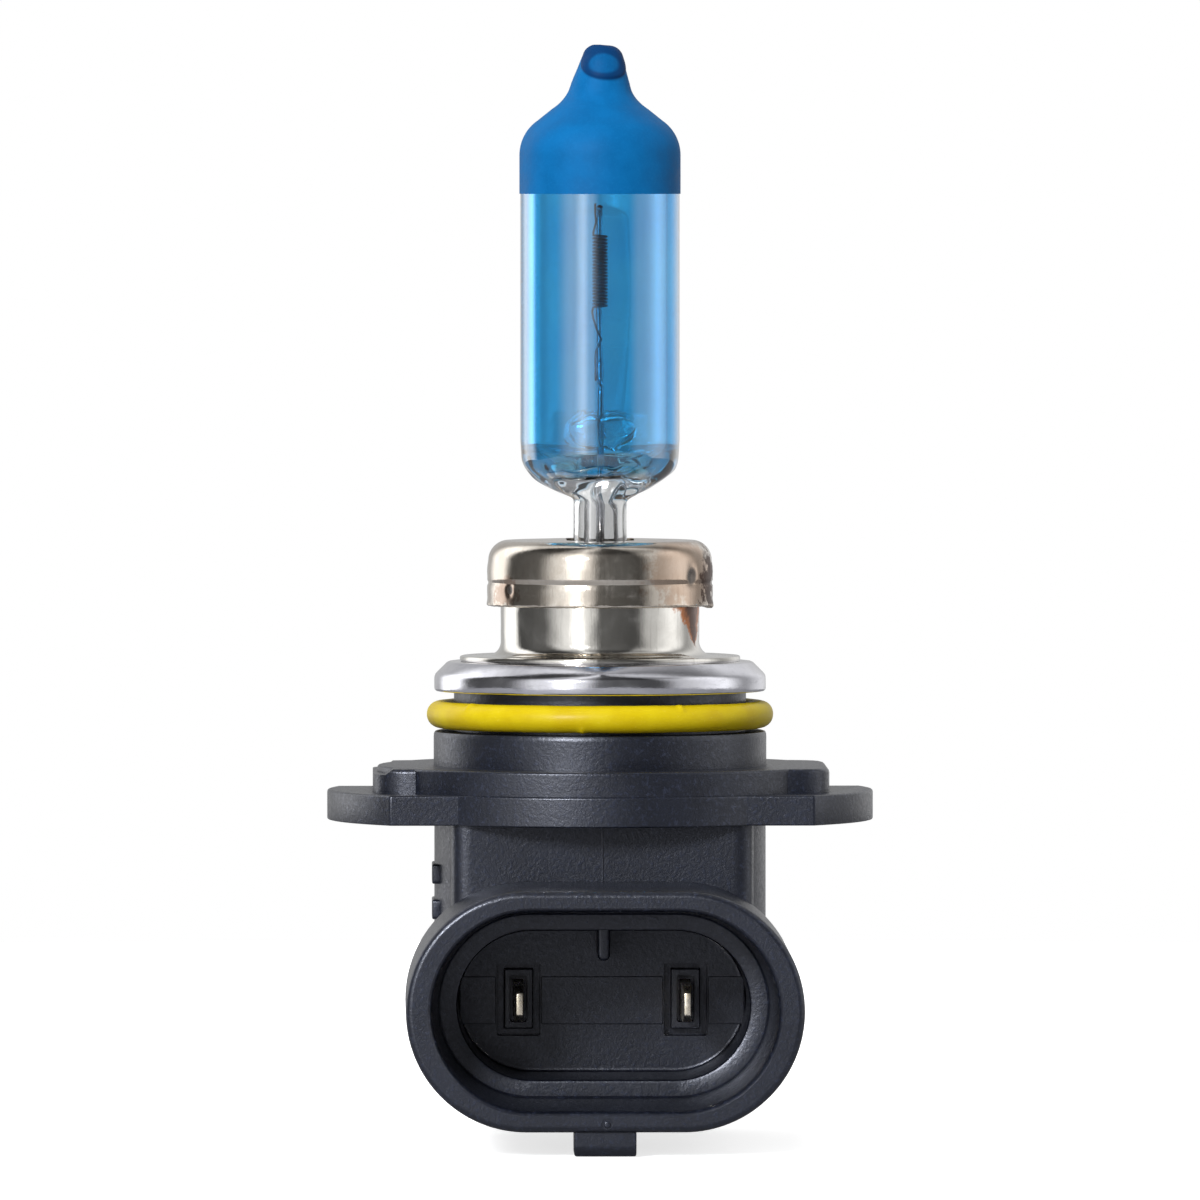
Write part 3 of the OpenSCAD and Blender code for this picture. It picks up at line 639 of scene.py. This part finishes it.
# Filament and wires
coil, turns = [], 22
coil += [(-0.34, 0.0, 23.2), (-0.36, 0.05, 24.6), (-0.3, 0.2, 25.4), (0.1, 0.25, 26.3), (-0.3, 0.3, 27.2),
         (-0.5, 0.5, 27.9), (-0.6, 0.35, 28.4)]
for k in range(turns * 20 + 1):
    t, a = k / (turns * 20), math.pi + 2 * math.pi * k / 20
    coil.append((0.52 * math.cos(a), 0.52 * math.sin(a), 28.75 + 5.5 * t))
coil += [(-0.5, -0.4, 34.5), (-0.3, -0.1, 35.2), (-0.36, 0.2, 35.9), (-0.36, 0.3, 36.6)]
place(sweep("coil", coil, 0.17, coil_metal, 8), ["filament"])
long_path = curve_through([(0, WIRE_Y, 9.0), (0.12, WIRE_Y, 20), (-0.1, WIRE_Y + 0.02, 30),
                           (0, WIRE_Y, 36.3), (0, 0.05, 36.3)], 0.9)
place(sweep("long", long_path, 0.5, wire_metal), ["long_support_wire"])
short_path = curve_through([(0, -WIRE_Y, 9.0), (0, -WIRE_Y, 22.8), (0, 0, 22.8), (0, 0, 24.4)], 0.8, 10)
place(sweep("short", short_path, 0.5, wire_metal, swell=lambda t: 1 + 0.25 * max(0, t - 0.8) / 0.2),
      ["short_support_wire"])


def bead(name, flatten):
    """Two short glass rods fused side by side round the support wires."""
    rings = []
    for k in range(49):
        y = -3.7 * math.cos(math.pi * k / 48)
        end = max(0.0, 1 - (abs(y) / 3.72) ** 8) ** 0.5
        bulge = 1 + 0.07 * math.cos(y * 3.6)
        rings.append([])
        for j in range(96):
            a = 2 * math.pi * j / 96
            lobes = 1 + 0.07 * math.sin(5 * a + 0.6) * (math.cos(a) > 0) * math.cos(a)
            rough = 1 + 0.16 * noise.noise(Vector((math.cos(a) * 1.9 + 5, y * 0.9, math.sin(a) * 1.9)))
            r = (1.4 + 1.1 * abs(math.cos(a)) ** 1.4) * bulge * lobes * rough * (0.3 + 0.7 * end)
            rings[-1].append((r * math.cos(a), y, BRIDGE_Z + r * math.sin(a) * flatten))
    return skin(name, rings, clear_glass("bridge_glass", coat=1.0), angle=75)


place(bead("bead", 0.95), ["glass_bridge"])
for side, where in ((-1, "front"), (1, "rear")):
    y = side * WIRE_Y
    foil = rectangle(0.05, 2.0, 0.02, (0, y))
    place(slab(foil, FOIL_FOOT, FOIL_TOP, 0, 0, material=foil_metal), [where + "_seal_foil"])
    end_x = side * (BLADE_X - 0.7)
    lead = curve_through([(0, y, 6.2), (0, y, -11.2), (end_x, -7.3, -15.4), (end_x, -7.3, -19.4)], 2.0, 10)
    place(sweep("lead", lead, 0.6, lead_metal), [where + "_outer_lead"])
    tube = [(0.33, -9), (0.7, -9), (0.75, -8.9), (0.75, 2.4), (0.7, 2.5), (0.33, 2.5)]
    sleeve = revolve("sleeve", tube, matt("ceramic_" + where, (0.6, 0.58, 0.52), (0.72, 0.7, 0.65), 0.6), 48)
    for vertex in sleeve.data.vertices:
        vertex.co.y += y * MM
    place(sleeve, [where + "_lead_sleeve"])

# Metal mount
place(slab(circle(CLIP_R, 96), CLIP_TOP - 0.4, CLIP_TOP, 0.08, 0.08, material=spring_metal), ["pinch_clip"])
clip = bpy.data.objects["pinch_clip_look"]
combine(clip, [slab(stadium(10.4, 3.6), 9, 12, 0, 0)], "DIFFERENCE")
clip.data.transform(Matrix.Rotation(math.pi / 2, 4, "Z"))
leaves = [slab(rectangle(0.4, 6, 0.08, (side * 1.76, 0)), 5.4, 10.4, 0.08, 0.08) for side in (-1, 1)]
finish_boolean(combine(clip, leaves, "UNION"), spring_metal)


def dented(r, z, a):
    """Spot-weld craters, a rim that is not quite even and a burr at its right."""
    turn = math.degrees(math.atan2(math.cos(a), -math.sin(a)))
    if r < 7.9:
        return r, z
    for middle, height, wide, tall, deep in ((54, 8.35, 3.2, 0.5, 0.2), (-54, 7.3, 2.2, 0.32, 0.16)):
        r -= deep * math.exp(-((turn - middle) / wide) ** 2 - ((z - height) / tall) ** 2)
    low = max(0, 1 - (z - 5.98) / 0.35)
    ragged = noise.noise(Vector((a * 9, 0.3, 0))) + 0.6 * noise.noise(Vector((a * 31, 4.3, 0)))
    burr, lip = math.exp(-((turn - 80) / 4) ** 2), math.exp(-((turn + 84) / 5) ** 2)
    r += low * (0.05 * ragged + 0.16 * burr + 0.1 * lip)
    z += low * (0.05 * ragged - 0.18 * burr)
    return r, z


def cap():
    wall, corner = 8.53, 1.55
    outside = [(2.4, CAP_TOP), (5.0, CAP_TOP - 0.02), (6.4, CAP_TOP - 0.07)]
    outside += arc(wall - corner, 11.0 - corner, corner, 76, 0, 10)
    outside += [(8.6, 9.0), (8.62, 8.6), (8.6, 8.2), (8.6, 7.95), (8.53, 7.8), (8.53, 7.68), (8.61, 7.52),
                (8.62, 7.2), (8.61, 6.9), (8.6, 6.6), (8.62, 6.35), (8.64, 6.2), (8.62, 6.08), (8.5, CAP_RIM),
                (8.2, CAP_RIM), (7.61, 6.02), (7.61, 8.6), (7.96, 8.6), (7.96, 6.42), (8.09, 6.42)]
    inside = arc(wall - corner, 11.0 - corner, corner - SHEET, 0, 80, 8)
    profile = outside + inside + [(5.0, CAP_TOP - SHEET), (2.4, CAP_TOP - SHEET)]
    body = revolve("cap", profile, None, 384, dented)
    hole = slab(stadium(11.0, 5.15), 9.9, 12, 0, 0)
    hole.data.transform(Matrix.Rotation(math.pi / 2, 4, "Z"))
    return finish_boolean(combine(body, [hole], "DIFFERENCE"), cap_metal, 40)


place(cap(), ["retainer_cap"])


def worn_foot(r, z, a):
    lift = 0.04 * noise.noise(Vector((a * 2.2, 1.7, 0))) if r > 9.4 else 0
    return r + (0.03 * noise.noise(Vector((a * 5, z, 0))) if r < 8 else 0), z + max(0, lift)


flare = arc(COLLAR_R + 1.1, RING_TOP + SHEET + 1.1, 1.1, 180, 270, 10)
under = arc(COLLAR_R - SHEET + 1.52, RING_TOP + 1.52, 1.52, 270, 180, 10)
wall_profile = [(COLLAR_R, z) for z in (9.55, 8, 6.5, 6, 5.5, 5, 4.5, 4, 3.6)]
place(revolve("collar", wall_profile + flare + [(10.55, 2.17), (10.66, 2.13), (10.7, 2.05), (10.7, 1.84),
                                                (10.64, 1.76), (10.5, RING_TOP)] + under
              + [(COLLAR_R - SHEET, 9.55)],
              collar_metal, 320, worn_foot), ["focus_collar"])

ring_profile = [(8.2, RING_TOP), (11.35, RING_TOP), (11.55, 1.73), (11.7, 1.66), (12.42, 0.94), (12.56, 0.78),
                (12.63, 0.6), (RING_R, 0.4), (RING_R, -0.3), (12.62, -0.42), (12.52, RING_FOOT),
                (11.95, RING_FOOT),
                (11.86, -0.44), (11.85, -0.3), (11.85, 0.3), (11.2, 0.95), (8.2, 0.95)]
place(revolve("ring", ring_profile, ring_metal, 320, lambda r, z, a: (
    r + (0.03 * noise.noise(Vector((math.cos(a) * 3, math.sin(a) * 3, z))) if r > 11.9 else 0), z)),
    ["locating_ring"])


def nubs(r, z, a):
    """Small moulding nubs on the sealing ring."""
    turn = math.degrees(math.atan2(math.cos(a), -math.sin(a)))
    up = math.degrees(math.atan2(z - SEAL_Z, r - SEAL_R))
    wave = 0.03 * noise.noise(Vector((math.cos(a) * 4, math.sin(a) * 4, z)))
    grow = wave + sum(0.13 * math.exp(-((turn - t) / 1.1) ** 2 - ((up - u) / 22) ** 2)
                      for t, u in ((-7, -62), (-52, 60), (28, 62), (150, 60)))
    return SEAL_R + (r - SEAL_R) * (1 + grow), SEAL_Z + (z - SEAL_Z) * (1 + grow)


place(revolve("seal", arc(SEAL_R, SEAL_Z, 1.03, 0, 350, 35), rubber(), 720, nubs, angle=80), ["sealing_ring"])


# Base housing

def housing():
    barrel = [(0.001, 0.93), (11.05, 0.93), (11.15, 0.83), (11.15, -3.55), (12.45, -3.55), (12.6, -3.6),
              (12.68, -3.75), (12.7, -4.0), (12.7, -10.3), (0.001, -10.3)]
    body = revolve("housing", barrel, None, 192)
    parts = [slab(circle(17.0), -8.3, -6.15, 0, 0.2), slab(circle(17.2), -10.3, -7.99, 0.12, 0.2)]
    block = slab(rectangle(34.7, 19, 3.4), -8.2, -6.17, 0, 0.35)
    chamfer = [(-19, -6.62), (-16.4, -6.62), (-15.7, -6.1), (-15.7, -5), (-19, -5)]
    parts.append(combine(block, [slab(chamfer, -12, 12, 0, 0, "y")], "DIFFERENCE"))
    for side in (-1, 1):
        lug = [(10.5, -13.3), (16.06, -13.3)] + arc(0, 0, LUG_R, -38.6, 14.9, 30) + [(20.1, 5.7), (10.5, 5.7)]
        lug = [(side * u, v) for u, v in lug]
        lug = rounded(lug if side == 1 else lug[::-1], 0.35, 3)
        parts.append(slab(lug, -10.29, -8.0, 0.12, 0.2))
    rear = [(0, 12), *arc(0, 0, LUG_R, 90 - 17, 90 + 17, 20)]
    parts.append(slab(rounded([(1.5, 12)] + rear[1:] + [(-1.5, 12)], 0.3, 3), -10.28, -8.01, 0.12, 0.2))
    parts.append(slab(circle(BODY_R), BODY_FOOT, -10.0, 0.5, 0))
    front = rounded([(-11.45, -13.2), (11.45, -13.2), (11.45, 2), (-11.45, 2)], 1.6, 8)
    parts.append(slab(front, BODY_FOOT + 0.02, -10.05, 0.5, 0))
    parts.append(slab(stadium(29.8, 18.0, 64), MOUTH_Y, SHROUD_BACK, 0.5, 0.3, "y", (0, CONNECTOR_Z)))
    latch = [(-29.5, -32.2), (-29.5, -33.7), (-28.9, -34.34), (-23.6, -34.34), (-22.6, -32.2)]
    latch = slab(rounded(latch, 0.2, 3), -2.32, 2.32, 0.15, 0.15)
    latch.data.transform(Matrix(((0, 0, 1, 0), (1, 0, 0, 0), (0, 1, 0, 0), (0, 0, 0, 1))))
    parts.append(latch)
    for z in (-14.4, -17.1):
        parts.append(slab(rectangle(6, 1.5, 0.25, (0, z)), -12.83, -12.0, 0.12, 0, "y"))
        parts[-1].data.transform(Matrix.Rotation(-math.pi / 2, 4, "Z"))
    parts.append(slab(rectangle(0.16, 14, 0.05, (0, -16)), -13.27, -12.9, 0.05, 0, "y"))
    combine(body, parts, "UNION")
    rings = []
    for w, h, y in ((26.9, 15.9, -31), (26.55, 15.55, -30.01), (26.3, 15.3, -29.93), (26.1, 15.1, -29.82),
                    (25.95, 14.95, -29.65), (25.8, 14.8, -29.3), (24.95, 13.95, -20.75),
                    (24.85, 13.85, -20.52),
                    (24.6, 13.6, -20.4), (22.5, 11.7, -20.4), (22.2, 11.4, -20.33), (22.0, 11.2, -20.1),
                    (21.8, 11.0, -11.4), (21.6, 10.8, -11.1), (21.2, 10.4, -11.0)):
        rings.append([(u, y, v + CONNECTOR_Z) for u, v in stadium(w, h, 64)])
    cuts = [skin("mouth", rings)]
    for side in (-1, 1):
        x = side * BLADE_X
        cuts.append(slab(rectangle(3.3, 5.5, 0.2, (0, 0)), -12, -9.8, 0, 0.05, "y", (x, -23.55)))
        cuts.append(slab(rectangle(2.25, 4.6, 0.05, (0, 0)), -10, -7, 0, 0, "y", (x, CONNECTOR_Z)))
    cuts.append(slab(circle(7.6, 96), -6, 3, 0, 0))
    chamber = [(-8.6, -9), (8.6, -9)] + arc(0, 0, 9.5, -25, 205, 60)
    cuts.append(slab(chamber, COVER_TOP, -5, 0, 0))
    cuts.append(slab(circle(COVER_R, 128), BODY_FOOT - 1, COVER_TOP, 0, 0))
    cuts.append(slab(circle(0.42, 24), -30.4, -29.88, 0, 0, "y", (0.1, -31.85)))
    combine(body, cuts, "DIFFERENCE")
    extras = [slab(rectangle(0.95, 4.4, 0.46, (0, 0)), -20.25, -10.8, 0.25, 0, "y", (0, -17.95)),
              slab(rectangle(9.2, 3.6, 0.1, (0, 0)), -11.16, SHROUD_BACK, 0.06, 0, "y", (0, -23.6)),
              slab(rectangle(0.5, 0.5, 0.24, (0, 0)), -30.03, -29.7, 0.1, 0, "y", (0.12, -31.9))]
    for side in (-1, 1):
        strip = rectangle(2.7, 3.6, 0.1, (0, 0))
        extras.append(slab(strip, -11.16, SHROUD_BACK, 0.06, 0, "y", (side * 9.4, -23.6)))
    return finish_boolean(combine(body, extras, "UNION"), housing_plastic)


place(housing(), ["base_housing"])
for side, where in ((-1, "left"), (1, "right")):
    x = side * BLADE_X
    blade = [(-19.0, -24.35), (-18.2, -24.85), (-6.2, -24.85), (-6.2, -15.2), (-8.6, -15.2), (-8.6, -22.15),
             (-18.2, -22.15), (-19.0, -22.65)]
    blade = slab(rounded(blade, 0.12, 3), -0.4, 0.4, 0.09, 0.09)
    blade.data.transform(Matrix(((0, 0, 1, 0), (1, 0, 0, 0), (0, 1, 0, 0), (0, 0, 0, 1))))
    for vertex in blade.data.vertices:
        y = vertex.co.y / MM
        if y < -17.9:
            vertex.co.x *= 1 - 0.35 * min(1, (-17.9 - y) / 1.1)
        vertex.co.x += x * MM
    blade.data.materials.append(blade_metal)
    place(blade, [where + "_terminal"])
    block = slab(rectangle(2.2, 4.55, 0.12, (0, 0)), -10.75, -7.6, 0.12, 0, "y", (x, CONNECTOR_Z))
    collar = slab(rectangle(3.85, 5.8, 0.15, (0, 0)), -8.98, -8.0, 0.05, 0.05, "y", (x, CONNECTOR_Z))
    slot = slab(rectangle(1.35, 3.6, 0.3, (0, 0)), -12, -9.2, 0, 0.05, "y", (x, CONNECTOR_Z))
    hole = slab(rectangle(0.84, 2.84, 0.05, (0, 0)), -10, -7, 0, 0, "y", (x, CONNECTOR_Z))
    block = combine(combine(block, [collar], "UNION"), [slot, hole], "DIFFERENCE")
    place(finish_boolean(block, carrier_plastic), [where + "_terminal_carrier"])

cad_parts["base_cover"].data.materials.clear()
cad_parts["base_cover"].data.materials.append(plastic("cover_plastic", (0.018, 0.019, 0.027),
                                                           (0.03, 0.031, 0.044), (0.09, 0.09, 0.12)))
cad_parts["potting_compound"].data.materials.clear()
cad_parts["potting_compound"].data.materials.append(matt("potting_resin", (0.05, 0.035, 0.022),
                                                              (0.09, 0.065, 0.04), 0.45, 0.6))


# Studio

def make_camera():
    azimuth, elevation, distance = math.radians(0.8), math.radians(1.63), 1.25
    seen_height = 91.6 * MM
    target = Vector((0, 0, 6.4 * MM))
    back = Vector((-math.sin(azimuth) * math.cos(elevation), -math.cos(azimuth) * math.cos(elevation),
                   math.sin(elevation)))
    data = bpy.data.cameras.new("camera")
    camera = bpy.data.objects.new("camera", data)
    bpy.context.scene.collection.objects.link(camera)
    camera.location = target + back * distance
    camera.rotation_euler = (-back).to_track_quat("-Z", "Y").to_euler()
    data.sensor_width = 36
    data.lens = data.sensor_width * distance / seen_height
    data.clip_start, data.clip_end = 0.01, 100
    bpy.context.scene.camera = camera


WORLD_STRENGTH = 4.5


def make_world():
    """White straight to the camera; soft boxes and dark flats round the object for every other ray."""
    world = bpy.data.worlds.new("studio")
    bpy.context.scene.world = world
    world.use_nodes = True
    tree = world.node_tree
    tree.nodes.clear()

    def add(kind, **settings):
        node = tree.nodes.new(kind)
        for key, value in settings.items():
            setattr(node, key, value)
        return node

    coords, parts = add("ShaderNodeTexCoord"), add("ShaderNodeSeparateXYZ")
    tree.links.new(coords.outputs["Generated"], parts.inputs[0])
    flip = add("ShaderNodeMath", operation="MULTIPLY")
    tree.links.new(parts.outputs[1], flip.inputs[0])
    flip.inputs[1].default_value = -1
    turn = add("ShaderNodeMath", operation="ARCTAN2")
    tree.links.new(parts.outputs[0], turn.inputs[0])
    tree.links.new(flip.outputs[0], turn.inputs[1])
    share = add("ShaderNodeMapRange")
    tree.links.new(turn.outputs[0], share.inputs["Value"])
    share.inputs["From Min"].default_value = -math.pi
    share.inputs["From Max"].default_value = math.pi

    def ramp(source, low, high, stops):
        node = add("ShaderNodeValToRGB")
        node.color_ramp.interpolation = "EASE"
        tree.links.new(source, node.inputs[0])
        elements = node.color_ramp.elements
        while len(elements) < len(stops):
            elements.new(0.5)
        for element, (at, tone) in zip(elements, stops):
            element.position = (at - low) / (high - low)
            element.color = (tone, tone, tone, 1)
        return node.outputs[0]

    around = ramp(share.outputs[0], -180, 180, [
        (-180, 0.12), (-155, 0.12), (-135, 0.4), (-120, 0.4), (-105, 0.02), (-70, 0.03), (-40, 0.25),
        (-25, 0.55), (-15, 0.25), (0, 0.03), (40, 0.02), (60, 0.15), (95, 0.3), (120, 0.1), (150, 0.2),
        (180, 0.12)])
    ray = add("ShaderNodeLightPath")
    upright = add("ShaderNodeMapRange")
    tree.links.new(parts.outputs[2], upright.inputs["Value"])
    upright.inputs["From Min"].default_value = -1
    height = ramp(upright.outputs[0], -1, 1, [
        (-1, 0.25), (-0.55, 0.35), (-0.3, 1.0), (0.6, 1.0), (0.85, 0.45), (1, 0.6)])
    light = add("ShaderNodeMix", data_type="RGBA", blend_type="MULTIPLY")
    light.inputs["Factor"].default_value = 1
    tree.links.new(around, light.inputs[6])
    tree.links.new(height, light.inputs[7])
    seen, lit = add("ShaderNodeBackground"), add("ShaderNodeBackground")
    seen.inputs["Color"].default_value = (1, 1, 1, 1)
    tree.links.new(light.outputs[2], lit.inputs["Color"])
    lit.inputs["Strength"].default_value = WORLD_STRENGTH
    choose, out = add("ShaderNodeMixShader"), add("ShaderNodeOutputWorld")
    tree.links.new(ray.outputs["Is Camera Ray"], choose.inputs[0])
    tree.links.new(lit.outputs[0], choose.inputs[1])
    tree.links.new(seen.outputs[0], choose.inputs[2])
    tree.links.new(choose.outputs[0], out.inputs[0])


def softbox(name, location, size, power, tint=(1, 1, 1), glossy=True):
    data = bpy.data.lights.new(name, "AREA")
    data.shape, data.size, data.size_y, data.energy, data.color = "RECTANGLE", size[0], size[1], power, tint
    lamp = bpy.data.objects.new(name, data)
    bpy.context.scene.collection.objects.link(lamp)
    lamp.location = location
    lamp.rotation_euler = (Vector((0, 0, 0)) - Vector(location)).to_track_quat("-Z", "Y").to_euler()
    lamp.visible_camera = False
    lamp.visible_glossy = glossy


make_camera()
make_world()
softbox("top", (-0.12, -0.25, 0.55), (0.35, 0.25), 1.5, glossy=False)
softbox("key", (-0.24, -0.53, 0.24), (0.13, 0.13), 3.5, (0.95, 0.97, 1.0))
floor = slab(circle(300, 96), -36.4, -34.4, 0, 0, name="floor")
floor_look = Look("pale_floor")
floor_look.bumps((floor_look.noise(0.4), 0.05, 0.05))
away = floor_look.math("SQRT", floor_look.math("ADD", floor_look.math("POWER", floor_look.x, 2.0),
                                               floor_look.math("POWER", floor_look.y, 2.0)))
seen = floor_look.add("ShaderNodeLightPath").outputs["Is Camera Ray"]
pale = floor_look.blend(floor_look.noise(0.01), (0.93, 0.93, 0.93), (0.95, 0.95, 0.95))
floor_look.set(Base_Color=floor_look.blend(seen, (0.3, 0.3, 0.31), pale), Roughness=0.7,
               Specular_IOR_Level=0.1,
               Emission_Color=(1, 1, 1, 1),
               Emission_Strength=floor_look.math("MULTIPLY", floor_look.span(away, 12, 60, 0.7, 0.95), seen))
floor.data.materials.append(floor_look.material)
bpy.context.scene.view_settings.view_transform = "Standard"
